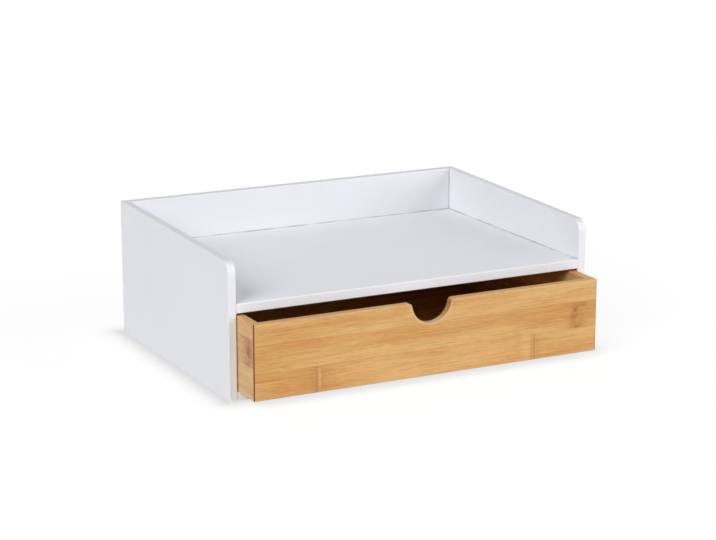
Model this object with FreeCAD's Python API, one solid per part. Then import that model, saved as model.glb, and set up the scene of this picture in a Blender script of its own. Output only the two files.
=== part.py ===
import FreeCAD, Part
"""Desk organizer with a letter tray on top and one drawer below it.

A white painted carcass (two side panels, back, shelf and base, butted and dowelled) holds a
bamboo drawer (four mitred boards round a grooved-in bottom) that slides on the base panel.

Frame: the origin is on the table top, at the middle of the carcass's footprint. +X is to the
right, -Y is the front that the drawer pulls out of, +Z is up. All sizes are in millimetres.
"""
import math
import os

V = FreeCAD.Vector

# ---- Carcass ------------------------------------------------------------------------------
CARCASS_WIDTH = 331.0      # over the two side panels
CARCASS_DEPTH = 230.0      # front edges to rear face
SIDE_T = 7.0               # side panel thickness
BASE_T = 7.2               # base panel thickness
SHELF_T = 8.0              # shelf thickness
BACK_T = 8.0               # back panel thickness
BAY_HEIGHT = 64.2          # clear height of the drawer bay, base to shelf
TRAY_WALL_REAR = 38.6      # back and sides above the shelf, at the rear
TRAY_WALL_FRONT = 34.1     # sides above the shelf, carried on to the front edge
CORNER_R = 10.0            # round front top corner of each side panel
CARCASS_EASE = 0.8         # rounding of the painted board edges

# ---- Dowels of the carcass ----------------------------------------------------------------
DOWEL_D = 4.0
DOWEL_LENGTH = 18.0
DOWEL_INSET = 25.0         # first and last dowel of a row, from the ends of the board
DOWELS_PER_END = 2         # where the shelf or the base meets a side
DOWELS_PER_REAR = 3        # where the shelf or the base meets the back
DOWELS_PER_UPRIGHT = 2     # where the back meets a side
BORE_SKIN = 2.3            # board left behind a blind bore
BORE_PLAY = 0.05           # all round a dowel, for the glue
BORE_END_PLAY = 0.25       # past each end of a dowel

# ---- Drawer -------------------------------------------------------------------------------
DRAWER_T = 7.0             # front, sides and back
DRAWER_EASE = 0.6          # rounding of the rims and of the notch
MITRE_TIP = 0.4            # blunting of each mitre's sharp tip, which leaves a fine open seam
BOTTOM_T = 3.0             # bottom panel
BOTTOM_RISE = 5.0          # underside of the bottom panel above the drawer's lower edge
GROOVE_DEPTH = 3.5         # groove that the bottom panel sits in
PANEL_EDGE_PLAY = 0.3      # bottom panel to the end of its groove
PANEL_TOP_PLAY = 0.15      # bottom panel to the roof of its groove
NOTCH_R = 18.0             # half-round finger notch, centred on the front's upper edge
NOTCH_LIP_R = 3.2          # rounding where the notch meets the upper edge
SPLINE_T = 1.8             # loose tongue across each mitre
SPLINE_W = 5.0
SPLINE_TOP_STOP = 10.0     # tongue stops this far below the drawer's upper edge
SPLINE_FOOT_STOP = 2.0     # and this far above the groove
SPLINE_PLAY = 0.05

# ---- Running clearances of the drawer in its bay ------------------------------------------
SLIDE_GAP = 0.3            # under the drawer
HEAD_GAP = 1.8             # over the drawer
FLANK_GAP = 0.7            # each side of the drawer
STOP_GAP = 1.0             # behind the shut drawer
DRAWER_OUT = 30.5          # how far the drawer stands out of the carcass at rest

# ---- Places that follow from the sizes above ----------------------------------------------
OUTER_X = CARCASS_WIDTH / 2
INNER_X = OUTER_X - SIDE_T
FRONT_Y = -CARCASS_DEPTH / 2
REAR_Y = CARCASS_DEPTH / 2
BACK_FACE_Y = REAR_Y - BACK_T
SHELF_Z = BASE_T + BAY_HEIGHT
TRAY_Z = SHELF_Z + SHELF_T
REAR_TOP_Z = TRAY_Z + TRAY_WALL_REAR
FRONT_TOP_Z = TRAY_Z + TRAY_WALL_FRONT

BOX_X = INNER_X - FLANK_GAP
BOX_FRONT_Y = FRONT_Y - DRAWER_OUT
BOX_REAR_Y = BACK_FACE_Y - STOP_GAP - DRAWER_OUT
BOX_LOW_Z = BASE_T + SLIDE_GAP
BOX_TOP_Z = SHELF_Z - HEAD_GAP
GROOVE_Z = BOX_LOW_Z + BOTTOM_RISE
GROOVE_TOP_Z = GROOVE_Z + BOTTOM_T + PANEL_TOP_PLAY


# ---- Helpers ------------------------------------------------------------------------------
def block(low, high):
    """Box between two opposite corners."""
    size = V(*high) - V(*low)
    return Part.makeBox(size.x, size.y, size.z, V(*low))


def prism(points, travel):
    """Solid swept from a closed polygon along a straight travel."""
    corners = [V(*p) for p in points]
    face = Part.Face(Part.makePolygon(corners + corners[:1]))
    return face.extrude(V(*travel))


def spread(low, high, count):
    """Evenly spaced places from low to high, both included."""
    if count == 1:
        return [(low + high) / 2]
    return [low + (high - low) * i / (count - 1) for i in range(count)]


def edges_where(shape, test):
    """Edges whose two ends and middle all pass a test on a point."""
    picked = []
    for edge in shape.Edges:
        first, last = edge.ParameterRange
        points = [edge.valueAt(first), edge.valueAt((first + last) / 2), edge.valueAt(last)]
        if all(test(p) for p in points):
            picked.append(edge)
    return picked


def near(a, b):
    return abs(a - b) < 1e-4


def mirrored(shape):
    """The same shape on the other side of the plane x = 0."""
    return shape.mirror(V(0, 0, 0), V(1, 0, 0))


# ---- Dowels -------------------------------------------------------------------------------
def dowel(joint_point, into_face, bite, play=0.0, end_play=0.0):
    """Round pin across a butt joint. It goes `bite` deep into the board whose face is met.

    joint_point lies on the joint plane, and into_face points into that board. With play it
    is the bore for the pin instead.
    """
    axis = V(*into_face)
    start = V(*joint_point) + axis * (bite - DOWEL_LENGTH - end_play)
    return Part.makeCylinder(DOWEL_D / 2 + play, DOWEL_LENGTH + 2 * end_play, start, axis)


def bite_into(board_t):
    """Depth of a pin in the face of a board of this thickness."""
    return board_t - BORE_SKIN - BORE_END_PLAY


def flat_board_joints(mid_z):
    """Dowel places of a level board (shelf or base): both sides, then the back."""
    joints = []
    for y in spread(FRONT_Y + DOWEL_INSET, BACK_FACE_Y - DOWEL_INSET, DOWELS_PER_END):
        joints.append(((-INNER_X, y, mid_z), (-1, 0, 0), bite_into(SIDE_T)))
        joints.append(((INNER_X, y, mid_z), (1, 0, 0), bite_into(SIDE_T)))
    for x in spread(-INNER_X + DOWEL_INSET, INNER_X - DOWEL_INSET, DOWELS_PER_REAR):
        joints.append(((x, BACK_FACE_Y, mid_z), (0, 1, 0), bite_into(BACK_T)))
    return joints


def back_joints():
    """Dowel places between the back's upright ends and the two sides."""
    mid_y = REAR_Y - BACK_T / 2
    joints = []
    for z in spread(DOWEL_INSET, REAR_TOP_Z - DOWEL_INSET, DOWELS_PER_UPRIGHT):
        joints.append(((-INNER_X, mid_y, z), (-1, 0, 0), bite_into(SIDE_T)))
        joints.append(((INNER_X, mid_y, z), (1, 0, 0), bite_into(SIDE_T)))
    return joints


def pins(joints):
    return Part.makeCompound([dowel(*joint) for joint in joints])


def bores(joints):
    return [dowel(*joint, play=BORE_PLAY, end_play=BORE_END_PLAY) for joint in joints]


SHELF_JOINTS = flat_board_joints(SHELF_Z + SHELF_T / 2)
BASE_JOINTS = flat_board_joints(BASE_T / 2)
BACK_JOINTS = back_joints()
ALL_BORES = bores(SHELF_JOINTS + BASE_JOINTS + BACK_JOINTS)


# ---- Carcass boards -----------------------------------------------------------------------
def side_profile():
    """Outline of a side panel in the Y-Z plane, with the round front top corner."""
    fall = (REAR_TOP_Z - FRONT_TOP_Z) / CARCASS_DEPTH
    slope = math.atan(fall)
    # The round is tangent to the upright front edge and to the top edge, which falls forward.
    cy = FRONT_Y + CORNER_R
    cz = FRONT_TOP_Z + CORNER_R * fall - CORNER_R / math.cos(slope)
    on_front = (cy - CORNER_R, cz)
    on_top = (cy - CORNER_R * math.sin(slope), cz + CORNER_R * math.cos(slope))
    turn = (math.pi + math.pi / 2 + slope) / 2
    on_round = (cy + CORNER_R * math.cos(turn), cz + CORNER_R * math.sin(turn))

    def at(point):
        return V(OUTER_X, point[0], point[1])

    low_front, low_rear = (FRONT_Y, 0), (REAR_Y, 0)
    top_rear = (REAR_Y, REAR_TOP_Z)
    edges = [
        Part.LineSegment(at(low_front), at(low_rear)).toShape(),
        Part.LineSegment(at(low_rear), at(top_rear)).toShape(),
        Part.LineSegment(at(top_rear), at(on_top)).toShape(),
        Part.Arc(at(on_top), at(on_round), at(on_front)).toShape(),
        Part.LineSegment(at(on_front), at(low_front)).toShape(),
    ]
    return Part.Wire(edges)


def right_side_panel():
    panel = Part.Face(side_profile()).extrude(V(-SIDE_T, 0, 0))
    outer_rim = edges_where(panel, lambda p: near(p.x, OUTER_X))
    inner_rim = edges_where(panel, lambda p: near(p.x, INNER_X))
    return panel.makeFillet(CARCASS_EASE, outer_rim + inner_rim)


def back_panel():
    panel = block((-INNER_X, BACK_FACE_Y, 0), (INNER_X, REAR_Y, REAR_TOP_Z))
    top_rims = edges_where(panel, lambda p: near(p.z, REAR_TOP_Z))
    long_rims = [e for e in top_rims if near(e.Length, 2 * INNER_X)]
    return panel.makeFillet(CARCASS_EASE, long_rims)


def level_board(low_z, thickness):
    """Shelf or base: butted between the sides and against the back, front edge eased."""
    board = block((-INNER_X, FRONT_Y, low_z), (INNER_X, BACK_FACE_Y, low_z + thickness))
    front_rims = edges_where(board, lambda p: near(p.y, FRONT_Y))
    long_rims = [e for e in front_rims if near(e.Length, 2 * INNER_X)]
    return board.makeFillet(CARCASS_EASE, long_rims)


# ---- Drawer boards ------------------------------------------------------------------------
def notched_sheet():
    """The drawer front seen square on, as a plate with the finger notch, before its mitres."""
    reach = NOTCH_R + NOTCH_LIP_R
    lip_x = math.sqrt(reach ** 2 - NOTCH_LIP_R ** 2)
    on_notch = (lip_x * NOTCH_R / reach, BOX_TOP_Z - NOTCH_LIP_R * NOTCH_R / reach)
    lip_turn = (math.pi / 2 + math.atan2(NOTCH_LIP_R, -lip_x)) / 2
    on_lip = (lip_x + NOTCH_LIP_R * math.cos(lip_turn),
              BOX_TOP_Z - NOTCH_LIP_R + NOTCH_LIP_R * math.sin(lip_turn))

    def at(x, z):
        return V(x, BOX_FRONT_Y, z)

    right = [at(*on_notch), at(*on_lip), at(lip_x, BOX_TOP_Z)]
    left = [at(-p.x, p.z) for p in reversed(right)]
    notch_foot = at(0, BOX_TOP_Z - NOTCH_R)
    top_left, top_right = at(-BOX_X, BOX_TOP_Z), at(BOX_X, BOX_TOP_Z)
    low_left, low_right = at(-BOX_X, BOX_LOW_Z), at(BOX_X, BOX_LOW_Z)
    edges = [
        Part.LineSegment(top_left, left[0]).toShape(),
        Part.Arc(*left).toShape(),
        Part.Arc(left[2], notch_foot, right[0]).toShape(),
        Part.Arc(*right).toShape(),
        Part.LineSegment(right[2], top_right).toShape(),
        Part.LineSegment(top_right, low_right).toShape(),
        Part.LineSegment(low_right, low_left).toShape(),
        Part.LineSegment(low_left, top_left).toShape(),
    ]
    return Part.Face(Part.Wire(edges)).extrude(V(0, DRAWER_T, 0))


def mitred_end_board(outer_y, inward):
    """Board across the drawer, mitred at both ends. inward is +1 at the front, -1 at the rear."""
    long_x, short_x = BOX_X - MITRE_TIP, BOX_X - DRAWER_T
    tip_y, inner_y = outer_y + inward * MITRE_TIP, outer_y + inward * DRAWER_T
    right = [(long_x, outer_y), (long_x, tip_y), (short_x, inner_y)]
    left = [(-x, y) for x, y in reversed(right)]
    return prism([(x, y, BOX_LOW_Z) for x, y in right + left], (0, 0, BOX_TOP_Z - BOX_LOW_Z))


def right_side_board():
    """Drawer side, mitred to the front and to the back."""
    tip_x, inner_x = BOX_X - MITRE_TIP, BOX_X - DRAWER_T
    front = [(inner_x, BOX_FRONT_Y + DRAWER_T), (tip_x, BOX_FRONT_Y + MITRE_TIP),
             (BOX_X, BOX_FRONT_Y + MITRE_TIP)]
    middle_y = (BOX_FRONT_Y + BOX_REAR_Y) / 2
    rear = [(x, 2 * middle_y - y) for x, y in reversed(front)]
    return prism([(x, y, BOX_LOW_Z) for x, y in front + rear], (0, 0, BOX_TOP_Z - BOX_LOW_Z))


def eased_drawer_board(board, inner_test, outer_test):
    """Rounds the upper rims with the notch, and the lower outer rim."""
    upper = edges_where(board, lambda p: (inner_test(p) or outer_test(p)) and p.z > GROOVE_TOP_Z)
    rims = [e for e in upper if not is_upright(e)]
    foot = [e for e in edges_where(board, outer_test) if near(e.BoundBox.ZMax, BOX_LOW_Z)]
    return board.makeFillet(DRAWER_EASE, rims + foot)


def is_upright(edge):
    box = edge.BoundBox
    return near(box.XLength, 0) and near(box.YLength, 0)


def groove():
    """Room for the bottom panel, let into all four boards."""
    half_x = BOX_X - DRAWER_T + GROOVE_DEPTH
    low_y = BOX_FRONT_Y + DRAWER_T - GROOVE_DEPTH
    high_y = BOX_REAR_Y - DRAWER_T + GROOVE_DEPTH
    return block((-half_x, low_y, GROOVE_Z), (half_x, high_y, GROOVE_TOP_Z))


def bottom_panel():
    half_x = BOX_X - DRAWER_T + GROOVE_DEPTH - PANEL_EDGE_PLAY
    low_y = BOX_FRONT_Y + DRAWER_T - GROOVE_DEPTH + PANEL_EDGE_PLAY
    high_y = BOX_REAR_Y - DRAWER_T + GROOVE_DEPTH - PANEL_EDGE_PLAY
    return block((-half_x, low_y, GROOVE_Z), (half_x, high_y, GROOVE_Z + BOTTOM_T))


def splines(play=0.0):
    """Four upright tongues, each square across the middle of its mitre."""
    low_z = GROOVE_TOP_Z + SPLINE_FOOT_STOP
    height = BOX_TOP_Z - SPLINE_TOP_STOP - low_z
    tongues = []
    for x_sign in (-1, 1):
        for y, y_sign in ((BOX_FRONT_Y, -1), (BOX_REAR_Y, 1)):
            tongue = Part.makeBox(SPLINE_T + 2 * play, SPLINE_W + 2 * play, height + 2 * play,
                                  V(-SPLINE_T / 2 - play, -SPLINE_W / 2 - play, -play))
            tongue.rotate(V(0, 0, 0), V(0, 0, 1), 45 * x_sign * y_sign)
            tongue.translate(V(x_sign * (BOX_X - DRAWER_T / 2), y - y_sign * DRAWER_T / 2, low_z))
            tongues.append(tongue)
    return tongues


def drawer_front():
    board = notched_sheet().common(mitred_end_board(BOX_FRONT_Y, 1))
    inner_y = BOX_FRONT_Y + DRAWER_T
    return eased_drawer_board(board.Solids[0], lambda p: near(p.y, inner_y),
                              lambda p: near(p.y, BOX_FRONT_Y))


def drawer_back():
    inner_y = BOX_REAR_Y - DRAWER_T
    return eased_drawer_board(mitred_end_board(BOX_REAR_Y, -1), lambda p: near(p.y, inner_y),
                              lambda p: near(p.y, BOX_REAR_Y))


def drawer_right_side():
    inner_x = BOX_X - DRAWER_T
    return eased_drawer_board(right_side_board(), lambda p: near(p.x, inner_x),
                              lambda p: near(p.x, BOX_X))


# ---- Assembly -----------------------------------------------------------------------------
def carcass_parts():
    right = right_side_panel()
    boards = {
        "left_side_panel": mirrored(right),
        "right_side_panel": right,
        "back_panel": back_panel(),
        "shelf_panel": level_board(SHELF_Z, SHELF_T),
        "base_panel": level_board(0, BASE_T),
    }
    parts = {name: board.cut(ALL_BORES) for name, board in boards.items()}
    parts["shelf_dowels"] = pins(SHELF_JOINTS)
    parts["base_dowels"] = pins(BASE_JOINTS)
    parts["back_dowels"] = pins(BACK_JOINTS)
    return parts


def drawer_parts():
    right = drawer_right_side()
    boards = {
        "drawer_front": drawer_front(),
        "drawer_left_side": mirrored(right),
        "drawer_right_side": right,
        "drawer_back": drawer_back(),
    }
    housings = [groove()] + splines(play=SPLINE_PLAY)
    parts = {name: board.cut(housings) for name, board in boards.items()}
    parts["drawer_bottom"] = bottom_panel()
    parts["drawer_corner_splines"] = Part.makeCompound(splines())
    return parts


def main():
    os.makedirs("parts", exist_ok=True)
    for name, shape in {**carcass_parts(), **drawer_parts()}.items():
        solid = shape.Solids[0] if len(shape.Solids) == 1 else shape
        solid.exportStep(f"parts/{name}.step")
        box = solid.BoundBox
        print(f"{name:24s} solids {len(solid.Solids):2d} volume {solid.Volume / 1000:8.2f} cm3 "
              f"valid {solid.isValid()} x {box.XMin:.2f}..{box.XMax:.2f} "
              f"y {box.YMin:.2f}..{box.YMax:.2f} z {box.ZMin:.2f}..{box.ZMax:.2f}")


main()
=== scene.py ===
"""Finishes of a desk organizer: a white painted carcass with a bamboo drawer.

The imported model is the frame. Its boards stay as they are and get their paint, bamboo and
beech here, with a plain white studio round them. All lengths are in metres. The origin is on
the table top, +X is to the right and -Y is the side that the drawer pulls out of.
"""
import math

import bpy
from bpy.props import FloatProperty, FloatVectorProperty, PointerProperty
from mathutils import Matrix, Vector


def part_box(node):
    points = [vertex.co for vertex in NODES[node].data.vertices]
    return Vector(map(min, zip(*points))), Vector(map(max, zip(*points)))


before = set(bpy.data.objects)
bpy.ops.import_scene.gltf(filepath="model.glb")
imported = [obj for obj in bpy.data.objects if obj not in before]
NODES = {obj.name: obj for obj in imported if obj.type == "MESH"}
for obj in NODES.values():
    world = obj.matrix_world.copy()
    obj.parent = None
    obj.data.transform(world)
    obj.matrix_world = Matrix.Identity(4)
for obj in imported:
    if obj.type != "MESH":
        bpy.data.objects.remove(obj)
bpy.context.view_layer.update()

bl_info = {
    "name": "Desk Organizer Finishes",
    "version": (1, 0, 0),
    "blender": (4, 5, 0),
    "location": "3D View > Sidebar > Organizer",
    "description": "Painted boards, a bamboo drawer and a white studio for a desk organizer",
    "category": "Object",
}

MM = 0.001
WHITE = (1.0, 1.0, 1.0, 1.0)

# Boards of the carcass: the axis that the two broad faces look along, a tint of the paint on
# their edges, as shares of its red, green and blue, which is painted light that lifts the
# shelf's front edge and cools the edges of the sides and the base against the warm light of
# the bamboo drawer, and how bright it is on the faces that look up.
PAINTED_BOARDS = {
    "left_side_panel": ("X", (0.985, 1.0, 1.025), 0.85),
    "right_side_panel": ("X", (0.985, 1.0, 1.025), 0.85),
    "back_panel": ("Y", (1.0, 1.0, 1.0), 0.82),
    "shelf_panel": ("Z", (1.05, 1.06, 1.08), 1.0),
    "base_panel": ("Z", (1.0, 1.01, 1.04), 1.0),
}
DOWEL_ROWS = ("shelf_dowels", "base_dowels", "back_dowels")

# Places of the drawer and the carcass that the finishes need, read from the frame.
BOX_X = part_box("drawer_right_side")[1].x
BOX_FRONT_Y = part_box("drawer_front")[0].y
BOX_REAR_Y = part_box("drawer_back")[1].y
BOX_TOP_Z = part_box("drawer_front")[1].z
FOOT_X, FOOT_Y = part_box("right_side_panel")[1].x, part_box("right_side_panel")[1].y
TRAY_X, TRAY_REAR_Y, TRAY_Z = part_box("shelf_panel")[1]

# The half-round finger notch is centred on the front's upper edge.
NOTCH_RADIUS = 18.0 * MM


def srgb(red, green, blue):
    """Linear colour of a screen colour from 0 to 255, with full alpha."""
    def linear(value):
        value /= 255
        return value / 12.92 if value <= 0.04045 else ((value + 0.055) / 1.055) ** 2.4
    return (linear(red), linear(green), linear(blue), 1.0)


# ---- Settings -------------------------------------------------------------------------------
def colour_setting(name, description, default):
    return FloatVectorProperty(name=name, description=description, subtype="COLOR", size=4,
                               min=0.0, max=1.0, default=default)


def length_setting(name, description, default):
    return FloatProperty(name=name, description=description, default=default, min=0.0,
                         unit="LENGTH", subtype="DISTANCE", precision=5)


def share_setting(name, description, default):
    return FloatProperty(name=name, description=description, default=default, min=0.0, max=1.0,
                         subtype="FACTOR")


def light_setting(name, description, default):
    return FloatProperty(name=name, description=description, default=default, min=0.0, max=2.0)


class PaintSettings(bpy.types.PropertyGroup):
    """Satin paint on the boards of the carcass."""
    colour: colour_setting("Paint", "Colour of the paint", srgb(231, 232, 237))
    edge_colour: colour_setting("Paint on edges", "Colour where a sawn board edge is painted",
                                srgb(237, 237, 240))
    roughness: share_setting("Roughness", "How matt the paint is", 0.50)
    sheen: share_setting("Sheen", "How strongly the paint mirrors lamps at its surface", 0.35)
    # crease_shade is painted shade along the tray's inside corners
    crease_shade: share_setting("Crease", "How dark the joints inside the tray are", 0.45)
    peel_size: length_setting("Roller texture", "Width of the paint's fine dimples", 1.6 * MM)
    peel_height: length_setting("Roller height", "Height of the paint's fine dimples",
                                0.012 * MM)


class BambooSettings(bpy.types.PropertyGroup):
    """Flat pressed bamboo under a clear satin lacquer."""
    pale: colour_setting("Pale fibre", "Colour of the palest strips", srgb(225, 183, 118))
    honey: colour_setting("Honey fibre", "Colour of most of the wood", srgb(208, 156, 87))
    orange: colour_setting("Orange fibre", "Colour of the warmest strips", srgb(201, 138, 68))
    dark: colour_setting("Dark fibre", "Colour of the thin dark fibres", srgb(160, 106, 50))
    knuckle: colour_setting("Knuckle", "Colour of the patch at a knuckle of the cane",
                            srgb(156, 92, 20))
    bleached: colour_setting("Bleached fibre", "Colour that a pale board leans to",
                             srgb(222, 198, 162))
    end_grain: colour_setting("End grain", "Colour of the cut ends of the fibres",
                              srgb(128, 84, 46))
    glue: colour_setting("Glue line", "Colour of the seam at a mitre", srgb(122, 64, 12))
    strip_width: length_setting("Strip width", "Width of the strips that make up a board",
                                22.4 * MM)
    roughness: share_setting("Roughness", "How matt the lacquer is", 0.45)
    sawn_gloss: share_setting("Sawn gloss", "How much the sawn long edges shine", 0.15)
    fibre_height: length_setting("Fibre height", "Height of the fibres under the lacquer",
                                 0.03 * MM)


class BeechSettings(bpy.types.PropertyGroup):
    """Plain beech of the dowels."""
    colour: colour_setting("Beech", "Colour of the wood", srgb(214, 178, 136))
    fleck: colour_setting("Fleck", "Colour of the short rays", srgb(176, 130, 88))
    roughness: share_setting("Roughness", "How matt the bare wood is", 0.62)


class StudioSettings(bpy.types.PropertyGroup):
    """White floor, soft lamps and the camera."""
    room: light_setting("Room light", "Even light from all round", 0.20)
    front: light_setting("Front lamp", "Light of the soft lamp in front, to the right", 0.63)
    left: light_setting("Left lamp", "Light of the soft lamp on the left", 0.64)
    rear: light_setting("Rear lamp", "Light of the weak soft lamp behind", 0.10)
    floor_bounce: share_setting("Floor bounce", "Share of light that the floor sends back", 0.85)
    shadow_depth: share_setting("Shadow depth", "How strongly shadows show on the floor", 0.20)
    side_contact: share_setting("Contact shade, sides",
                                "How dark the floor gets along the carcass's sides", 0.31)
    end_contact: share_setting("Contact shade, ends",
                               "How dark the floor gets along its front and its rear", 0.24)
    contact_reach: length_setting("Contact reach", "How far that shade spreads on the floor",
                                  11.5 * MM)
    under_light: share_setting("Light underneath", "Faint light on the carcass's underside, "
                               "for views from below", 0.20)
    lens: FloatProperty(name="Lens", description="Focal length on a 36 mm wide sensor",
                        default=108.66, min=10.0, unit="CAMERA", subtype="DISTANCE_CAMERA")


SETTINGS = {
    "organizer_paint": PaintSettings,
    "organizer_bamboo": BambooSettings,
    "organizer_beech": BeechSettings,
    "organizer_studio": StudioSettings,
}


# ---- Wiring of shader nodes -----------------------------------------------------------------
COLUMN_WIDTH, ROW_HEIGHT = 220, 190      # of the nodes as they lie in the editor


def add_node(tree, kind, inputs=None, **options):
    """New node with its options and inputs set. An input is a value or another node's socket."""
    node = tree.nodes.new(kind)
    for name, value in options.items():
        setattr(node, name, value)
    for key, value in (inputs or {}).items():
        if isinstance(value, bpy.types.NodeSocket):
            tree.links.new(value, node.inputs[key])
        else:
            node.inputs[key].default_value = value
    return node


def maths(tree, operation, *values, clamp=False):
    inputs = {i: value for i, value in enumerate(values)}
    return add_node(tree, "ShaderNodeMath", inputs, operation=operation,
                    use_clamp=clamp).outputs[0]


def ramped(tree, value, low, high, out_low=0.0, out_high=1.0):
    """Value carried smoothly from the range low..high to out_low..out_high."""
    inputs = {"Value": value, "From Min": low, "From Max": high, "To Min": out_low,
              "To Max": out_high}
    return add_node(tree, "ShaderNodeMapRange", inputs,
                    interpolation_type="SMOOTHSTEP").outputs[0]


def diagonal(tree, first, second):
    """Length of the diagonal of two legs."""
    squares = maths(tree, "MULTIPLY_ADD", first, first, maths(tree, "MULTIPLY", second, second))
    return maths(tree, "SQRT", squares)


def swung(tree, base, value, reach):
    """Base moved by up to half of reach to either side, by a value from 0 to 1."""
    return maths(tree, "MULTIPLY_ADD", maths(tree, "SUBTRACT", value, 0.5), reach, base)


def blended(tree, share, first, second):
    """Colour that goes from first to second as share goes from 0 to 1."""
    node = add_node(tree, "ShaderNodeMix", {0: share, 6: first, 7: second}, data_type="RGBA")
    return node.outputs[2]


def noise(tree, place, detail=2.0, roughness=0.5, seed=0.0, scale=1.0):
    """Noise value from 0 to 1 at a place, with scale grains to the unit that it is given in."""
    inputs = {"Vector": place, "Scale": scale, "Detail": detail, "Roughness": roughness,
              "W": seed}
    return add_node(tree, "ShaderNodeTexNoise", inputs, noise_dimensions="4D").outputs[0]


def packed(tree, *parts):
    return add_node(tree, "ShaderNodeCombineXYZ", dict(enumerate(parts))).outputs[0]


def object_place(tree):
    """The three coordinates of a point, in the frame that all boards share at rest."""
    coordinates = add_node(tree, "ShaderNodeTexCoord")
    split = add_node(tree, "ShaderNodeSeparateXYZ", {0: coordinates.outputs["Object"]})
    return dict(zip("XYZ", split.outputs))


def facing(tree, axis):
    """How squarely a point's surface looks along an axis of the frame, from 0 to 1."""
    coordinates = add_node(tree, "ShaderNodeTexCoord")
    split = add_node(tree, "ShaderNodeSeparateXYZ", {0: coordinates.outputs["Normal"]})
    return maths(tree, "ABSOLUTE", dict(zip("XYZ", split.outputs))[axis])


def new_material(name):
    material = bpy.data.materials.new(name)
    material.use_nodes = True
    material.node_tree.nodes.clear()
    return material


def finish_surface(tree, colour, roughness, height, height_step, **constants):
    """Principled surface with its colour, roughness and relief, wired to the output."""
    bump = add_node(tree, "ShaderNodeBump", {"Height": height, "Distance": height_step,
                                             "Strength": 1.0})
    inputs = {"Base Color": colour, "Roughness": roughness, "Normal": bump.outputs[0]}
    inputs.update(constants)
    shader = add_node(tree, "ShaderNodeBsdfPrincipled", inputs)
    add_node(tree, "ShaderNodeOutputMaterial", {"Surface": shader.outputs[0]})
    arrange(tree)


def arrange(tree):
    """Lays the nodes out in columns, by how far each is from the output."""
    column = {node.name: 0 for node in tree.nodes}
    for _ in range(len(tree.nodes)):
        moved = False
        for link in tree.links:
            wanted = column[link.to_node.name] + 1
            if column[link.from_node.name] < wanted:
                column[link.from_node.name] = wanted
                moved = True
        if not moved:
            break
    filled = {}
    for node in tree.nodes:
        place = column[node.name]
        node.location = (-COLUMN_WIDTH * place, -ROW_HEIGHT * filled.get(place, 0))
        filled[place] = filled.get(place, 0) + 1


def dress(node_name, material):
    """Puts a material on every slot of a CAD board."""
    board = NODES[node_name]
    for slot in board.material_slots:
        slot.material = material


# ---- Paint ----------------------------------------------------------------------------------
# The dark line in the tray's inside corners is painted shade, darkening the paint's colour there.
CREASE_END = 1.3 * MM         # how far off a joint its dark line ends
CREASE_CORE = 0.3 * MM        # how far off the joint it is still at its darkest
CREASE_SLACK = 0.05 * MM      # so that a point on a board's own face counts as in the tray
CREASE_LEAST = 0.3            # share of the dark line where it shows least
CREASE_GAPS = 45.0            # stretches of a fainter line to the metre
GAP_RANGE = (0.35, 0.65)      # values of the noise between which the line gets stronger
PAINT_CLOUDS = 14.0           # faint clouds to the metre
CLOUD_RANGE = (0.3, 0.7)      # values of the clouds' noise between which the paint changes
CLOUD_TONES = (0.985, 1.01)   # brightness of the paint at these values
CLOUD_ROUGHNESS = 0.04        # how far the clouds move the roughness, up or down
EDGE_ROUGHNESS = 0.1          # how much rougher a sawn edge is
FUZZ_FINENESS = 2.4           # raised fibres to each dimple of the roller
FUZZ_SHARE = 1.2              # how high these stand on a sawn edge, as a share of a dimple

# How squarely a surface looks along its axis where it starts to count as an edge or as a top,
# and where it fully does.
EDGE_FACING = (0.9, 0.5)
TOP_FACING = (0.6, 0.95)


# Painted shade: where the tray's boards meet, the paint is darkened.
def tray_crease_shade(tree, place):
    """1 in the corners where the tray's boards meet, and 0 from a little way off them."""
    from_side = maths(tree, "SUBTRACT", TRAY_X, maths(tree, "ABSOLUTE", place["X"]))
    from_back = maths(tree, "SUBTRACT", TRAY_REAR_Y, place["Y"])
    from_shelf = maths(tree, "SUBTRACT", place["Z"], TRAY_Z)
    low = maths(tree, "MINIMUM", from_side, from_back)
    high = maths(tree, "MAXIMUM", from_side, from_back)
    least = maths(tree, "MINIMUM", low, from_shelf)
    middle = maths(tree, "MAXIMUM", low, maths(tree, "MINIMUM", high, from_shelf))
    inside = maths(tree, "GREATER_THAN", least, -CREASE_SLACK)
    return maths(tree, "MULTIPLY", inside, ramped(tree, middle, CREASE_END, CREASE_CORE))


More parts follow.
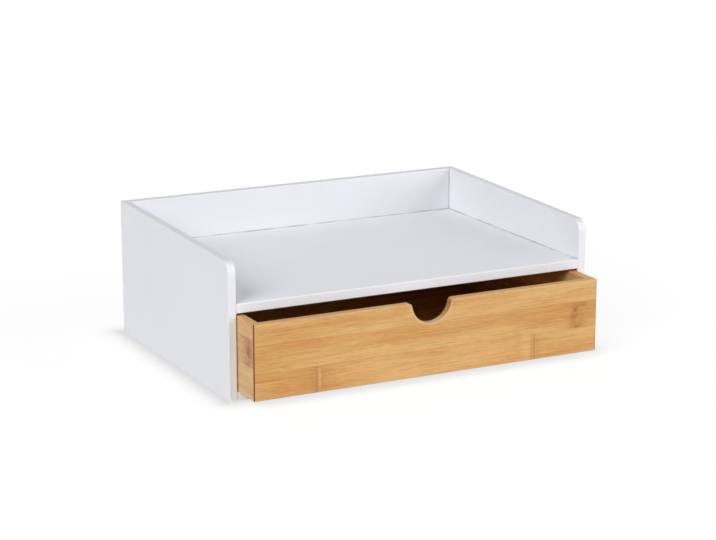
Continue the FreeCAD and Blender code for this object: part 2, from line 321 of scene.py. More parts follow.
def painted_board(name, face_axis, edge_light_tint, top_share, paint):
    """Satin paint with roller dimples. The sawn edges take it a little coarser and duller."""
    # The edge tint is painted light: lighter on the shelf's edge, cooler on the sides and base.
    edge_colour = [c * share for c, share in zip(paint.edge_colour, (*edge_light_tint, 1.0))]
    material = new_material(name)
    tree = material.node_tree
    place = object_place(tree)
    point = packed(tree, place["X"], place["Y"], place["Z"])
    edge = ramped(tree, facing(tree, face_axis), *EDGE_FACING)

    cloud = noise(tree, point, detail=3.0, scale=PAINT_CLOUDS)
    gaps = noise(tree, point, detail=1.0, scale=CREASE_GAPS)
    dimples = noise(tree, point, detail=2.0, roughness=0.6, scale=1 / paint.peel_size)
    fuzz = noise(tree, point, detail=4.0, roughness=0.7, scale=FUZZ_FINENESS / paint.peel_size)

    tone = ramped(tree, cloud, *CLOUD_RANGE, *CLOUD_TONES)
    on_top = ramped(tree, facing(tree, "Z"), *TOP_FACING, 1.0, top_share)
    tone = maths(tree, "MULTIPLY", tone, on_top)
    # Painted shade along the tray's inside corners, fainter in stretches.
    shade_strength = ramped(tree, gaps, *GAP_RANGE, CREASE_LEAST, 1.0)
    crease_shade = maths(tree, "MULTIPLY", tray_crease_shade(tree, place), shade_strength)
    kept = maths(tree, "MULTIPLY_ADD", crease_shade, -paint.crease_shade, 1.0)
    tone = maths(tree, "MULTIPLY", tone, kept)
    colour = blended(tree, edge, tuple(paint.colour), edge_colour)
    shaded = add_node(tree, "ShaderNodeVectorMath", {0: colour, "Scale": tone},
                      operation="SCALE").outputs[0]

    roughness = ramped(tree, cloud, *CLOUD_RANGE, paint.roughness - CLOUD_ROUGHNESS,
                       paint.roughness + CLOUD_ROUGHNESS)
    roughness = maths(tree, "ADD", roughness, maths(tree, "MULTIPLY", edge, EDGE_ROUGHNESS))
    relief = maths(tree, "ADD", dimples, maths(tree, "MULTIPLY", fuzz, maths(
        tree, "MULTIPLY", edge, FUZZ_SHARE)))
    finish_surface(tree, shaded, roughness, relief, paint.peel_height,
                   **{"Specular IOR Level": paint.sheen})
    return material


class ORGANIZER_OT_paint_carcass(bpy.types.Operator):
    """Paint the sides, the back, the shelf and the base"""
    bl_idname = "organizer.paint_carcass"
    bl_label = "Paint the Carcass"

    def execute(self, context):
        paint = context.scene.organizer_paint
        for board, finish in PAINTED_BOARDS.items():
            dress(board, painted_board(f"{board}_paint", *finish, paint))
        return {"FINISHED"}


# ---- Bamboo ---------------------------------------------------------------------------------
# Layers of the grain: how long and how wide a grain is, the detail and the roughness of its
# noise, what its seed adds to the strip's, and how far it slopes across the fibres.
GRAIN = {
    "broad": (120 * MM, 14 * MM, 2.0, 0.55, 0.0, 0.0),
    "bands": (80 * MM, 2.2 * MM, 4.0, 0.65, 3.0, 0.0),
    "fibres": (30 * MM, 0.8 * MM, 3.0, 0.65, 7.0, 0.0),
    "dashes": (9 * MM, 0.42 * MM, 1.0, 0.55, 11.0, 0.0),
    "strokes": (7 * MM, 1.1 * MM, 2.0, 0.55, 17.0, 0.09),
    "mottle": (3.0 * MM, 1.3 * MM, 3.0, 0.65, 0.0, 0.0),
    "cloud": (7.0 * MM, 5.0 * MM, 1.0, 0.55, 23.0, 0.0),
}

# How the layers tint the wood, one after another: the layer, its value where the tint starts and
# where it is full, the share of the tint where it is full, and the fibre whose colour it has.
TINTS = (
    ("bands", 0.46, 0.70, 0.24, "dark"),
    ("bands", 0.50, 0.30, 0.35, "pale"),
    ("strokes", 0.46, 0.70, 0.16, "dark"),
    ("strokes", 0.50, 0.28, 0.25, "pale"),
    ("fibres", 0.48, 0.72, 0.42, "dark"),
    ("dashes", 0.62, 0.78, 0.40, "dark"),
)

# Strips and fibres.
SEED_SPREAD = 30.0            # how far apart the noise of two strips can lie
SEAM_START, SEAM_CORE = 0.016, 0.004     # off a strip's edge, as shares of its width
SEAM_SHARE = 0.28             # how dark the seam between two strips is
FIBRE_SWAY = 3.0 * MM         # how far the fibres sway across the board
SWAY_GRAINS = (16.0, 30.0)    # sways to the metre, along the board and across it
FIBRE_SLOPE = -0.018          # how far the fibres cross the board for each metre along it
WARM_RANGE = (0.30, 0.72)     # values of the broad grain from the palest wood to the warmest
STRIP_CONTRAST = 0.3          # how much warmer or paler than its neighbour a strip can be
HONEY_SHARE = 0.35            # how much of the honey colour is in all of the wood

# Knuckles: the ring line, the fainter second one beside it, and the stained patch round them.
RING_WIDTH, SECOND_RING_WIDTH = 0.55 * MM, 0.5 * MM
RING_SHARE = 0.6              # how dark the ring line is
SECOND_RING_SHARE = 0.6       # strength of the second line, as a share of the first one's
RING_WANDER = 4.0 * MM        # how far a ring line wanders along the board
WANDER_GRAINS = (160.0, 160.0)           # to the metre, across the board and through it
KNUCKLE_SWIRL = 3.0 * MM      # how far the fibres bend at a patch
SWIRL_GRAINS = (130.0, 110.0)            # to the metre, along the board and across it

# The fine and the coarse flecks of a patch and the pores of a cut end: two values of the
# noise, and how strong the stain is there.
FINE_FLECKS = (0.34, 0.66, 0.5, 1.2)
COARSE_FLECKS = (0.35, 0.65, 0.75, 1.25)
PORES = (0.4, 0.7, 0.45, 0.95)

# How squarely a surface looks along its axis where it starts to count as what it is named
# for, and where it fully does.
CUT_END_FACING = (0.35, 1.0)
SAWN_FACING = (0.5, 0.95)
FRONT_FACING = (0.3, 0.9)
WALL_FACING = (0.75, 0.98)

# Mitres and the pale edges of the drawer front.
GLUE_SOFT = 0.2 * MM          # how softly the glue line at an upright corner ends
MITRE_START, MITRE_CORE = 0.3 * MM, 0.1 * MM     # off the line of a mitre, across a rim
MITRE_SHARE = 0.55            # how much glue shows there
# The pale line is partly sanded wood and partly a painted highlight on the rounded edge; on the
# notch's lower wall it is painted light.
NOTCH_PALE_REACH, NOTCH_PALEST = 2.2 * MM, 0.8 * MM  # off the notch's edge
NOTCH_FACE_SHARE, NOTCH_WALL_LIGHT = 0.27, 0.50  # how pale it gets, on the face and inside
TOP_PALE_REACH, TOP_PALEST, TOP_SHARE = 2.6 * MM, 1.2 * MM, 0.15     # the same along the top

# Lacquer.
FIBRE_RANGE = (0.3, 0.7)      # values of the fibres between which the roughness changes
FIBRE_ROUGHNESS = 0.05        # how far it changes, up or down
CUT_END_ROUGHNESS = 0.15      # how much rougher a cut end is
DASH_HEIGHT, SEAM_DEPTH = 0.5, 0.6       # as shares of the fibres' height
FACE_GLOSS = 0.5              # how much the broad faces shine


def hump(tree, distance, width):
    """1 at distance 0, falling softly away to both sides, and about a third at a width off."""
    share = maths(tree, "DIVIDE", distance, width)
    return maths(tree, "EXPONENT", maths(tree, "MULTIPLY", share,
                                         maths(tree, "MULTIPLY", share, -1.0)))


def knuckle_group():
    """Shader group for one knuckle of the cane: its dark ring line and the patch round it."""
    name = "Cane knuckle"
    if name in bpy.data.node_groups:
        return bpy.data.node_groups[name]
    tree = bpy.data.node_groups.new(name, "ShaderNodeTree")
    for label in ("Along", "Strip", "Wanted strip", "Centre", "Reach", "Second line"):
        tree.interface.new_socket(label, in_out="INPUT", socket_type="NodeSocketFloat")
    for label in ("Ring", "Patch"):
        tree.interface.new_socket(label, in_out="OUTPUT", socket_type="NodeSocketFloat")
    entry = tree.nodes.new("NodeGroupInput").outputs

    away = maths(tree, "SUBTRACT", entry["Along"], entry["Centre"])
    same = maths(tree, "COMPARE", entry["Strip"], entry["Wanted strip"], 0.5)
    second = hump(tree, maths(tree, "ADD", away, entry["Second line"]), SECOND_RING_WIDTH)
    ring = maths(tree, "MAXIMUM", hump(tree, away, RING_WIDTH),
                 maths(tree, "MULTIPLY", second, SECOND_RING_SHARE))
    patch = hump(tree, away, entry["Reach"])
    add_node(tree, "NodeGroupOutput", {"Ring": maths(tree, "MULTIPLY", same, ring),
                                       "Patch": maths(tree, "MULTIPLY", same, patch)})
    arrange(tree)
    return tree


def knuckles_on(tree, along, strip, knuckles):
    """Ring and patch of all knuckles of a board, as two values.

    A knuckle is (strip, centre along the grain, reach of its patch, strength of the patch,
    strength of the ring, distance to the second ring line).
    """
    ring, patch = 0.0, 0.0
    for wanted, centre, reach, stain, line, second in knuckles:
        inputs = {"Along": along, "Strip": strip, "Wanted strip": float(wanted),
                  "Centre": centre, "Reach": reach, "Second line": second}
        group = add_node(tree, "ShaderNodeGroup", inputs, node_tree=knuckle_group())
        ring = maths(tree, "MULTIPLY_ADD", group.outputs["Ring"], line, ring)
        patch = maths(tree, "MULTIPLY_ADD", group.outputs["Patch"], stain, patch)
    return ring, patch


def clouds_on(tree, along, across, clouds):
    """Share, above or below 0, that the soft clouds of a board add up to.

    A cloud is (centre along, centre across, reach along, reach across, share).
    """
    total = 0.0
    for centre_along, centre_across, reach_along, reach_across, share in clouds:
        run = maths(tree, "DIVIDE", maths(tree, "SUBTRACT", along, centre_along), reach_along)
        rise = maths(tree, "DIVIDE", maths(tree, "SUBTRACT", across, centre_across),
                     reach_across)
        away = maths(tree, "MULTIPLY_ADD", run, run, maths(tree, "MULTIPLY", rise, rise))
        cloud = maths(tree, "EXPONENT", maths(tree, "MULTIPLY", away, -1.0))
        total = maths(tree, "MULTIPLY_ADD", cloud, share, total)
    return total


def mitre_seams(tree, place, reach):
    """How much glue shows: all of it at the drawer's upright corners, as far as reach along a
    board from its end, and less of it on the mitres across the rims."""
    middle_y = (BOX_FRONT_Y + BOX_REAR_Y) / 2
    half_y = (BOX_REAR_Y - BOX_FRONT_Y) / 2
    from_flank = maths(tree, "SUBTRACT", BOX_X, maths(tree, "ABSOLUTE", place["X"]))
    from_end = maths(tree, "SUBTRACT", half_y, maths(tree, "ABSOLUTE", maths(
        tree, "SUBTRACT", place["Y"], middle_y)))
    corner = ramped(tree, maths(tree, "MAXIMUM", from_flank, from_end), reach + GLUE_SOFT,
                    reach - GLUE_SOFT)
    apart = maths(tree, "ABSOLUTE", maths(tree, "SUBTRACT", from_flank, from_end))
    mitre = maths(tree, "MULTIPLY", ramped(tree, apart, MITRE_START, MITRE_CORE), MITRE_SHARE)
    return maths(tree, "MAXIMUM", corner, mitre)


def pale_and_highlit_edges(tree, place):
    """How far the wood pales at the edges of the drawer front: a thin line along its top and round
    its finger notch, partly sanded wood and partly a painted highlight on the rounded edge, and
    painted light on the notch's lower wall."""
    from_top = maths(tree, "SUBTRACT", BOX_TOP_Z, place["Z"])
    off_notch = maths(tree, "ABSOLUTE", maths(
        tree, "SUBTRACT", diagonal(tree, place["X"], from_top), NOTCH_RADIUS))
    near_notch = ramped(tree, off_notch, NOTCH_PALE_REACH, NOTCH_PALEST)
    face = ramped(tree, facing(tree, "Y"), *FRONT_FACING)
    wall = maths(tree, "MULTIPLY", ramped(tree, facing(tree, "Z"), *WALL_FACING),
                 NOTCH_WALL_LIGHT)
    round_notch = maths(tree, "MULTIPLY", near_notch,
                        maths(tree, "MULTIPLY_ADD", face, NOTCH_FACE_SHARE, wall))
    along_top = maths(tree, "MULTIPLY", face, ramped(tree, from_top, TOP_PALE_REACH, TOP_PALEST,
                                                     0.0, TOP_SHARE))
    return maths(tree, "MAXIMUM", round_notch, along_top)


def strips_across(tree, across, first_edge, width, seed):
    """The strip that a point is on: its number, a random share and a noise seed of its own, and
    1 on the seams at its edges."""
    step = maths(tree, "DIVIDE", maths(tree, "SUBTRACT", across, first_edge), width)
    strip = maths(tree, "FLOOR", step)
    chance = add_node(tree, "ShaderNodeTexWhiteNoise",
                      {"W": maths(tree, "ADD", strip, seed)}, noise_dimensions="1D").outputs[0]
    strip_seed = maths(tree, "MULTIPLY_ADD", chance, SEED_SPREAD, seed)
    in_strip = maths(tree, "FRACT", step)
    to_edge = maths(tree, "MINIMUM", in_strip, maths(tree, "SUBTRACT", 1.0, in_strip))
    return strip, chance, strip_seed, ramped(tree, to_edge, SEAM_START, SEAM_CORE)


def flat_noise(tree, first, second, grains, detail, seed):
    """Noise that changes in two directions only, with so many grains to the metre in each."""
    spot = packed(tree, maths(tree, "MULTIPLY", first, grains[0]),
                  maths(tree, "MULTIPLY", second, grains[1]), 0.0)
    return noise(tree, spot, detail=detail, seed=seed)


def bent_fibres(tree, along, across, patch, seed):
    """Which fibre a point is on, as a place across the board. Fibres sway and bend at knuckles."""
    sway = flat_noise(tree, along, across, SWAY_GRAINS, 1.0, seed)
    swirl = flat_noise(tree, along, across, SWIRL_GRAINS, 2.0, seed)
    bent = swung(tree, across, sway, FIBRE_SWAY)
    bent = maths(tree, "MULTIPLY_ADD", along, FIBRE_SLOPE, bent)
    turned = maths(tree, "MULTIPLY", patch, maths(tree, "SUBTRACT", swirl, 0.5))
    return maths(tree, "MULTIPLY_ADD", turned, KNUCKLE_SWIRL, bent)


def grain_layers(tree, along, fibre, through, seed):
    """Value of each layer of the grain: noise drawn out along the fibres."""
    layers = {}
    for layer, (length, width, detail, roughness, shift, slope) in GRAIN.items():
        rising = maths(tree, "MULTIPLY_ADD", along, slope, fibre)
        spot = packed(tree, maths(tree, "DIVIDE", along, length),
                      maths(tree, "DIVIDE", rising, width),
                      maths(tree, "DIVIDE", through, width))
        layers[layer] = noise(tree, spot, detail, roughness, maths(tree, "ADD", seed, shift))
    return layers


def clear_wood(tree, bamboo, layers, warm, bleach):
    """Colour of the wood between its knuckles, from pale to warm, with the tints of its grain."""
    colour = blended(tree, warm, tuple(bamboo.pale), tuple(bamboo.orange))
    colour = blended(tree, HONEY_SHARE, colour, tuple(bamboo.honey))
    colour = blended(tree, bleach, colour, tuple(bamboo.bleached))
    for layer, starts, full, share, fibre in TINTS:
        tint = ramped(tree, layers[layer], starts, full, 0.0, share)
        colour = blended(tree, tint, colour, tuple(getattr(bamboo, fibre)))
    return colour


def stained(tree, bamboo, colour, layers, ring, patch, seam):
    """Wood with the flecked patches and the ring lines of its knuckles, and with its seams."""
    flecks = maths(tree, "MULTIPLY", ramped(tree, layers["mottle"], *FINE_FLECKS),
                   ramped(tree, layers["cloud"], *COARSE_FLECKS))
    stain = maths(tree, "MULTIPLY", patch, flecks, clamp=True)
    colour = blended(tree, stain, colour, tuple(bamboo.knuckle))
    line = maths(tree, "MULTIPLY", ring, RING_SHARE, clamp=True)
    colour = blended(tree, line, colour, tuple(bamboo.dark))
    return blended(tree, maths(tree, "MULTIPLY", seam, SEAM_SHARE), colour, tuple(bamboo.dark))


def bamboo_board(bamboo, name, axes, first_edge, seed, knuckles=(), glue_reach=0.0, tones_and_light=(),
                 spots=(), bleach=0.0, sawn_rim=0.0, sanded_and_highlit=False):
    """Flat pressed bamboo, lacquered.

    axes names the frame axes along the grain, across the strips and through the board.
    first_edge is where a seam between two strips lies, across the grain. glue_reach is how
    far the glue of a mitre shows from the board's end, or 0 for a board without mitres.
    tones_and_light are clouds that make the wood warmer or paler, most of them the wood's own
    tone and one, on the left side, painted light. spots are clouds of the knuckles' stain, bleach
    is how much paler the whole board is, sawn_rim is how much darker its long edges are, and
    sanded_and_highlit tells whether it has the finger notch's pale edges, partly sanded wood and
    partly painted highlight and light.
    """
    material = new_material(name)
    tree = material.node_tree
    place = object_place(tree)
    along, across, through = (place[axis] for axis in axes)
    strip, chance, strip_seed, seam = strips_across(tree, across, first_edge,
                                                    bamboo.strip_width, seed)

    # The rings wander across a strip, and the fibres bend round them.
    wander = flat_noise(tree, across, through, WANDER_GRAINS, 1.0, strip_seed)
    ring, patch = knuckles_on(tree, swung(tree, along, wander, RING_WANDER), strip, knuckles)
    patch = maths(tree, "ADD", patch, clouds_on(tree, along, across, spots))
    fibre = bent_fibres(tree, along, across, patch, strip_seed)
    layers = grain_layers(tree, along, fibre, through, strip_seed)

    warm = swung(tree, ramped(tree, layers["broad"], *WARM_RANGE), chance, STRIP_CONTRAST)
    warm = maths(tree, "ADD", warm, clouds_on(tree, along, across, tones_and_light), clamp=True)
    colour = clear_wood(tree, bamboo, layers, warm, bleach)
    colour = stained(tree, bamboo, colour, layers, ring, patch, seam)

    # Cut ends, sawn long edges, sanded edges and glue.
    cut_end = ramped(tree, facing(tree, axes[0]), *CUT_END_FACING)
    pores = ramped(tree, layers["dashes"], *PORES)
    colour = blended(tree, maths(tree, "MULTIPLY", cut_end, pores), colour,
                     tuple(bamboo.end_grain))
    sawn = ramped(tree, facing(tree, axes[1]), *SAWN_FACING)
    colour = blended(tree, maths(tree, "MULTIPLY", sawn, sawn_rim), colour,
                     tuple(bamboo.end_grain))
    # Pale edges: partly sanded wood, partly a painted highlight, and painted light in the notch.
    if sanded_and_highlit:
        colour = blended(tree, pale_and_highlit_edges(tree, place), colour, tuple(bamboo.bleached))
    if glue_reach:
        colour = blended(tree, mitre_seams(tree, place, glue_reach), colour,
                         tuple(bamboo.glue))

    roughness = ramped(tree, layers["fibres"], *FIBRE_RANGE,
                       bamboo.roughness - FIBRE_ROUGHNESS, bamboo.roughness + FIBRE_ROUGHNESS)
    roughness = maths(tree, "ADD", roughness,
                      maths(tree, "MULTIPLY", cut_end, CUT_END_ROUGHNESS))
    relief = maths(tree, "ADD", layers["fibres"],
                   maths(tree, "MULTIPLY", layers["dashes"], DASH_HEIGHT))
    relief = maths(tree, "SUBTRACT", relief, maths(tree, "MULTIPLY", seam, SEAM_DEPTH))
    gloss = maths(tree, "MULTIPLY_ADD", maths(tree, "MAXIMUM", sawn, cut_end),
                  bamboo.sawn_gloss - FACE_GLOSS, FACE_GLOSS)
    finish_surface(tree, colour, roughness, relief, bamboo.fibre_height,
                   **{"Specular IOR Level": gloss})
    return material


# Knuckles, as knuckles_on takes them, and spots and tones, as clouds_on takes them.
FRONT_KNUCKLES = (
    (0, -103.9 * MM, 12.0 * MM, 0.24, 0.9, -1.5 * MM),
    (0, 97.4 * MM, 5.0 * MM, 0.14, 0.8, 2.4 * MM),
    (1, 138.5 * MM, 9.0 * MM, 0.36, 0.0, 0.0),
    (1, 134.0 * MM, 3.0 * MM, 0.0, 0.2, -12.0 * MM),
)
FRONT_SPOTS = (
    (144.5 * MM, 49.0 * MM, 4.5 * MM, 1.4 * MM, 0.45),
    (137.3 * MM, 45.5 * MM, 2.8 * MM, 2.4 * MM, 0.55),
    (135.8 * MM, 40.0 * MM, 4.5 * MM, 1.8 * MM, 0.40),
    (135.0 * MM, 35.5 * MM, 3.0 * MM, 2.2 * MM, 0.30),
    (139.5 * MM, 31.0 * MM, 4.5 * MM, 1.3 * MM, 0.40),
)
FRONT_TONES = (
    (-132.0 * MM, 15.0 * MM, 32.0 * MM, 9.0 * MM, 0.55),
    (-100.0 * MM, 18.0 * MM, 14.0 * MM, 11.0 * MM, 0.20),
    (-101.0 * MM, 18.0 * MM, 1.0 * MM, 10.0 * MM, -1.2),
    (-141.0 * MM, 22.9 * MM, 16.0 * MM, 0.9 * MM, 1.2),
    (-36.0 * MM, 20.0 * MM, 34.0 * MM, 13.0 * MM, -0.70),
    (35.0 * MM, 21.0 * MM, 46.0 * MM, 10.0 * MM, -0.40),
    (90.0 * MM, 18.0 * MM, 4.0 * MM, 10.0 * MM, -0.70),
    (128.0 * MM, 15.0 * MM, 30.0 * MM, 8.0 * MM, 0.35),
    (129.0 * MM, 51.4 * MM, 17.0 * MM, 0.9 * MM, 1.3),
    (95.0 * MM, 62.0 * MM, 55.0 * MM, 9.0 * MM, -0.20),
    (-115.0 * MM, 60.0 * MM, 40.0 * MM, 9.0 * MM, 0.20),
    (-28.0 * MM, 67.0 * MM, 8.0 * MM, 5.0 * MM, 0.50),
)
LEFT_SIDE_KNUCKLES = (
    (0, 30.0 * MM, 6.0 * MM, 0.3, 0.4, 4.0 * MM),
    (1, -136.0 * MM, 15.0 * MM, 0.62, 0.0, 3.0 * MM),
    (2, -20.0 * MM, 6.0 * MM, 0.3, 0.4, 4.0 * MM),
)
LEFT_SIDE_SPOTS = (
    (-137.0 * MM, 47.0 * MM, 4.0 * MM, 8.0 * MM, 0.50),
    (-134.0 * MM, 36.0 * MM, 5.0 * MM, 3.0 * MM, 0.45),
)
LEFT_SIDE_TONES_AND_LIGHT = (
    (-135.0 * MM, 62.0 * MM, 30.0 * MM, 10.0 * MM, 0.70),
    (-135.0 * MM, 18.0 * MM, 30.0 * MM, 14.0 * MM, -0.45),
    # Painted light: a pale strip on the face close to the carcass's side panel.
    (-117.0 * MM, 40.0 * MM, 9.0 * MM, 45.0 * MM, -0.60),
)
RIGHT_SIDE_KNUCKLES = (
    (0, -82.0 * MM, 6.0 * MM, 0.3, 0.4, 4.0 * MM),
    (1, 18.0 * MM, 6.0 * MM, 0.35, 0.4, 3.0 * MM),
    (2, -118.0 * MM, 6.0 * MM, 0.25, 0.4, 5.0 * MM),
)
BACK_KNUCKLES = (
    (0, 62.0 * MM, 6.0 * MM, 0.3, 0.5, 4.0 * MM),
    (1, -96.0 * MM, 7.0 * MM, 0.35, 0.4, 3.0 * MM),
    (2, 20.0 * MM, 5.0 * MM, 0.25, 0.4, 4.0 * MM),
)
# One to each strip of the bottom panel, spread along it.
BOTTOM_KNUCKLES = tuple((strip, (strip * 97 % 280 - 140) * MM, 5.0 * MM, 0.2, 0.4, 4.0 * MM)
                        for strip in range(-5, 5))

BAMBOO_BOARDS = {
    "drawer_front": dict(
        name="bamboo_front", axes="XZY", first_edge=7.2 * MM, seed=2.0,
        knuckles=FRONT_KNUCKLES, glue_reach=0.6 * MM, tones_and_light=FRONT_TONES, spots=FRONT_SPOTS,
        sawn_rim=0.21, sanded_and_highlit=True),
    "drawer_left_side": dict(
        name="bamboo_left_side", axes="YZX", first_edge=11.7 * MM, seed=5.0,
        knuckles=LEFT_SIDE_KNUCKLES, glue_reach=1.5 * MM, tones_and_light=LEFT_SIDE_TONES_AND_LIGHT,
        spots=LEFT_SIDE_SPOTS, bleach=0.30),
    "drawer_right_side": dict(
        name="bamboo_right_side", axes="YZX", first_edge=15.0 * MM, seed=8.0,
        knuckles=RIGHT_SIDE_KNUCKLES, glue_reach=1.5 * MM, bleach=0.20),
    "drawer_back": dict(
        name="bamboo_back", axes="XZY", first_edge=9.5 * MM, seed=12.0,
        knuckles=BACK_KNUCKLES, glue_reach=0.5 * MM, sawn_rim=0.21),
    "drawer_bottom": dict(
        name="bamboo_bottom", axes="XYZ", first_edge=-36.0 * MM, seed=20.0,
        knuckles=BOTTOM_KNUCKLES),
    "drawer_corner_splines": dict(
        name="bamboo_tongues", axes="ZXY", first_edge=0.0, seed=31.0),
}


def dress_in_bamboo(context, *boards):
    for board in boards:
        dress(board, bamboo_board(context.scene.organizer_bamboo, **BAMBOO_BOARDS[board]))


class ORGANIZER_OT_finish_drawer_front(bpy.types.Operator):
    """Give the notched drawer front its bamboo"""
    bl_idname = "organizer.finish_drawer_front"
    bl_label = "Finish the Drawer Front"

    def execute(self, context):
        dress_in_bamboo(context, "drawer_front")
        return {"FINISHED"}


class ORGANIZER_OT_finish_drawer_box(bpy.types.Operator):
    """Give the drawer's sides and back their bamboo"""
    bl_idname = "organizer.finish_drawer_box"
    bl_label = "Finish the Drawer Box"

    def execute(self, context):
        dress_in_bamboo(context, "drawer_left_side", "drawer_right_side", "drawer_back")
        return {"FINISHED"}


class ORGANIZER_OT_finish_drawer_bottom(bpy.types.Operator):
    """Give the drawer's bottom panel and the tongues of its mitres their bamboo"""
    bl_idname = "organizer.finish_drawer_bottom"
    bl_label = "Finish the Drawer Bottom"

    def execute(self, context):
        dress_in_bamboo(context, "drawer_bottom", "drawer_corner_splines")
        return {"FINISHED"}


# ---- Beech ----------------------------------------------------------------------------------
BEECH_GRAINS = (90.0, 1400.0)            # to the metre, along the dowels and across them
BEECH_RAYS = (700.0, 2600.0)             # the same for the short rays
GRAIN_TINT = (0.35, 0.7, 0.0, 0.35)      # two values of the noise and the tint's share there
RAY_TINT = (0.62, 0.72, 0.0, 0.7)
BEECH_RANGE = (0.3, 0.7)      # values of the grain between which the roughness changes
BEECH_ROUGHNESS = 0.05        # how far it changes, up or down
BEECH_RELIEF = 0.03 * MM


def drawn_out(tree, place, along, across, detail, seed=0.0):
    """Noise drawn out along X, with so many grains to the metre along it and across it."""
    spot = packed(tree, maths(tree, "MULTIPLY", place["X"], along),
                  maths(tree, "MULTIPLY", place["Y"], across),
                  maths(tree, "MULTIPLY", place["Z"], across))
    return noise(tree, spot, detail=detail, seed=seed)


def beech_pin(name, beech):
    """Bare beech with the short dark rays of the wood."""
    material = new_material(name)
    tree = material.node_tree
    place = object_place(tree)
    grain = drawn_out(tree, place, *BEECH_GRAINS, detail=3.0)
    rays = drawn_out(tree, place, *BEECH_RAYS, detail=1.0, seed=4.0)
    colour = blended(tree, ramped(tree, grain, *GRAIN_TINT), tuple(beech.colour),
                     tuple(beech.fleck))
    colour = blended(tree, ramped(tree, rays, *RAY_TINT), colour, tuple(beech.fleck))
    roughness = ramped(tree, grain, *BEECH_RANGE, beech.roughness - BEECH_ROUGHNESS,
                       beech.roughness + BEECH_ROUGHNESS)
    finish_surface(tree, colour, roughness, grain, BEECH_RELIEF)
    return material


class ORGANIZER_OT_finish_dowels(bpy.types.Operator):
    """Give the hidden dowels of the carcass their beech"""
    bl_idname = "organizer.finish_dowels"
    bl_label = "Finish the Dowels"

    def execute(self, context):
        material = beech_pin("beech_dowels", context.scene.organizer_beech)
        for row in DOWEL_ROWS:
            dress(row, material)
        return {"FINISHED"}


# ---- Stage ----------------------------------------------------------------------------------
FLOOR_HALF = 4.0
FLOOR_DROP = 0.05 * MM        # keeps the floor clear of the underside of the boards
CONTACT_FALL = 1.5            # how sharply the shade round the carcass's foot ends
UNDERSIDE_SLACK = 0.01 * MM   # how far off its footprint the floor still glows underneath

# Soft lamps: the setting that holds a lamp's light, its turn from the front to the left, its
# height and how wide it looks from the object, in degrees.
LAMPS = {
    "front_lamp": ("front", -45.0, 12.0, 60.0),
    "left_lamp": ("left", 60.0, 35.0, 36.0),
    "rear_lamp": ("rear", 180.0, 50.0, 60.0),
}

# Camera, with its turns in degrees: down from level, and to the right of straight back.
CAMERA_PLACE = (-0.8203, -1.6118, 0.5220)
CAMERA_DOWN, CAMERA_RIGHT = 14.252, 27.19
SENSOR_WIDTH = 36.0


def seen_directly(tree):
    """1 for what the camera, a mirror or a glass looks at, and 0 for light that bounces."""
    path = add_node(tree, "ShaderNodeLightPath")
    seen = maths(tree, "MAXIMUM", path.outputs["Is Camera Ray"], path.outputs["Is Glossy Ray"])
    return maths(tree, "MAXIMUM", seen, path.outputs["Is Transmission Ray"])


def lit_floor(studio):
    """Light that falls on the open floor, where 1 makes a white sheet render as white."""
    lamps = sum(getattr(studio, setting) * math.sin(math.radians(height))
                for setting, _, height, _ in LAMPS.values())
    return studio.room + lamps


def off_the_foot(tree):
    """How far a point of the floor is from the carcass's footprint: sideways, and in all."""
    place = object_place(tree)

    def past(axis, foot):
        beyond = maths(tree, "SUBTRACT", maths(tree, "ABSOLUTE", place[axis]), foot)
        return maths(tree, "MAXIMUM", beyond, 0.0)

    off_x, off_y = past("X", FOOT_X), past("Y", FOOT_Y)
    return off_x, diagonal(tree, off_x, off_y)


def contact_shade(tree, studio, off_x, off):
    """Share of light that the floor loses close to the carcass that stands on it."""
    depth = maths(tree, "MULTIPLY_ADD", maths(tree, "DIVIDE", off_x, off),
                  studio.side_contact - studio.end_contact, studio.end_contact)
    fall = maths(tree, "POWER", maths(tree, "DIVIDE", off, studio.contact_reach), CONTACT_FALL)
    return maths(tree, "MULTIPLY", depth, maths(tree, "EXPONENT", maths(
        tree, "MULTIPLY", fall, -1.0)))


def matt_and_lit(tree, grey, light):
    """Matt surface of an even grey that also gives off white light."""
    matt = add_node(tree, "ShaderNodeBsdfDiffuse", {"Color": (grey, grey, grey, 1.0)})
    white = add_node(tree, "ShaderNodeEmission", {"Color": WHITE, "Strength": light})
    return add_node(tree, "ShaderNodeAddShader", {0: matt.outputs[0],
                                                  1: white.outputs[0]}).outputs[0]


def mixed_shader(tree, share, first, second):
    """Surface that goes from first to second as share goes from 0 to 1."""
    return add_node(tree, "ShaderNodeMixShader", {0: share, 1: first, 2: second}).outputs[0]


def floor_material(studio):
    """White floor that keeps a soft shadow. Seen from below it isn't there."""
    material = new_material("white_floor")
    material.cycles.emission_sampling = "NONE"
    tree = material.node_tree
    off_x, off = off_the_foot(tree)
    depth = studio.shadow_depth
    even = maths(tree, "SUBTRACT", 1.0 - depth * lit_floor(studio),
                 contact_shade(tree, studio, off_x, off))
    seen = matt_and_lit(tree, depth, even)
    under = maths(tree, "MULTIPLY", maths(tree, "COMPARE", off, 0.0, UNDERSIDE_SLACK),
                  studio.under_light)
    sent = matt_and_lit(tree, studio.floor_bounce, under)
    top = mixed_shader(tree, seen_directly(tree), sent, seen)

    path = add_node(tree, "ShaderNodeLightPath")
    facing_away = add_node(tree, "ShaderNodeNewGeometry").outputs["Backfacing"]
    open_below = maths(tree, "MULTIPLY", facing_away, path.outputs["Is Camera Ray"])
    clear = add_node(tree, "ShaderNodeBsdfTransparent").outputs[0]
    surface = mixed_shader(tree, open_below, top, clear)
    add_node(tree, "ShaderNodeOutputMaterial", {"Surface": surface})
    arrange(tree)
    return material


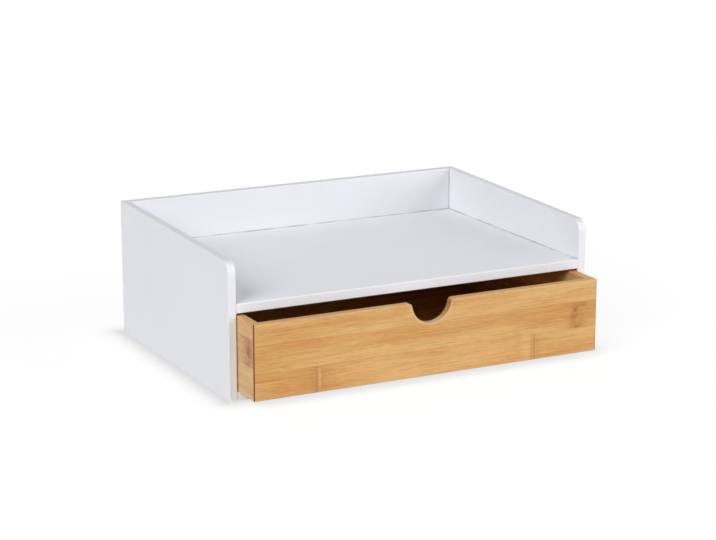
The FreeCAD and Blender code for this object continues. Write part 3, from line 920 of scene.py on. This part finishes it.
def lay_floor(studio):
    mesh = bpy.data.meshes.new("floor")
    corners = [(x * FLOOR_HALF, y * FLOOR_HALF, -FLOOR_DROP)
               for x, y in ((-1, -1), (1, -1), (1, 1), (-1, 1))]
    mesh.from_pydata(corners, [], [(0, 1, 2, 3)])
    floor = bpy.data.objects.new("floor", mesh)
    bpy.context.scene.collection.objects.link(floor)
    mesh.materials.append(floor_material(studio))


def light_room(studio):
    """Even light from all round, and plain white where the camera sees past the floor."""
    world = bpy.data.worlds.new("studio")
    bpy.context.scene.world = world
    world.use_nodes = True
    tree = world.node_tree
    tree.nodes.clear()
    even = add_node(tree, "ShaderNodeBackground", {"Color": WHITE, "Strength": studio.room})
    white = add_node(tree, "ShaderNodeBackground", {"Color": WHITE, "Strength": 1.0})
    room = mixed_shader(tree, seen_directly(tree), even.outputs[0], white.outputs[0])
    add_node(tree, "ShaderNodeOutputWorld", {"Surface": room})
    arrange(tree)


def hang_lamp(name, light, turn, height, width):
    """Wide soft lamp, so far off that it lights the whole stage alike."""
    lamp = bpy.data.lights.new(name, "SUN")
    lamp.energy = light * math.pi
    lamp.angle = math.radians(width)
    holder = bpy.data.objects.new(name, lamp)
    bpy.context.scene.collection.objects.link(holder)
    holder.rotation_euler = (math.radians(90 - height), 0.0, math.radians(-turn))


def set_camera(studio):
    camera = bpy.data.cameras.new("camera")
    camera.sensor_width = SENSOR_WIDTH
    camera.lens = studio.lens
    holder = bpy.data.objects.new("camera", camera)
    bpy.context.scene.collection.objects.link(holder)
    holder.location = CAMERA_PLACE
    holder.rotation_euler = (math.radians(90 - CAMERA_DOWN), 0.0, math.radians(-CAMERA_RIGHT))
    bpy.context.scene.camera = holder


class ORGANIZER_OT_set_stage(bpy.types.Operator):
    """Lay the white floor, hang the soft lamps and set up the camera"""
    bl_idname = "organizer.set_stage"
    bl_label = "Set the Stage"

    def execute(self, context):
        studio = context.scene.organizer_studio
        lay_floor(studio)
        light_room(studio)
        for name, (setting, *placing) in LAMPS.items():
            hang_lamp(name, getattr(studio, setting), *placing)
        set_camera(studio)
        context.scene.view_settings.view_transform = "Standard"
        return {"FINISHED"}


# ---- Panel and registration -----------------------------------------------------------------
class ORGANIZER_PT_finishes(bpy.types.Panel):
    """Lists the finishes of the organizer in the sidebar"""
    bl_label = "Desk Organizer"
    bl_idname = "ORGANIZER_PT_finishes"
    bl_space_type = "VIEW_3D"
    bl_region_type = "UI"
    bl_category = "Organizer"

    def draw(self, context):
        for group_name, group in SETTINGS.items():
            box = self.layout.box()
            settings = getattr(context.scene, group_name)
            for key in group.__annotations__:
                box.prop(settings, key)
        for operator in OPERATORS:
            self.layout.operator(operator.bl_idname)


OPERATORS = (
    ORGANIZER_OT_paint_carcass,
    ORGANIZER_OT_finish_dowels,
    ORGANIZER_OT_finish_drawer_front,
    ORGANIZER_OT_finish_drawer_box,
    ORGANIZER_OT_finish_drawer_bottom,
    ORGANIZER_OT_set_stage,
)
CLASSES = tuple(SETTINGS.values()) + OPERATORS + (ORGANIZER_PT_finishes,)


def register():
    for cls in CLASSES:
        bpy.utils.register_class(cls)
    for name, group in SETTINGS.items():
        setattr(bpy.types.Scene, name, PointerProperty(type=group))


def unregister():
    for name in SETTINGS:
        delattr(bpy.types.Scene, name)
    for cls in reversed(CLASSES):
        bpy.utils.unregister_class(cls)


def main():
    register()
    bpy.ops.organizer.paint_carcass()
    bpy.ops.organizer.finish_dowels()
    bpy.ops.organizer.finish_drawer_front()
    bpy.ops.organizer.finish_drawer_box()
    bpy.ops.organizer.finish_drawer_bottom()
    bpy.ops.organizer.set_stage()


if __name__ == "__main__":
    main()
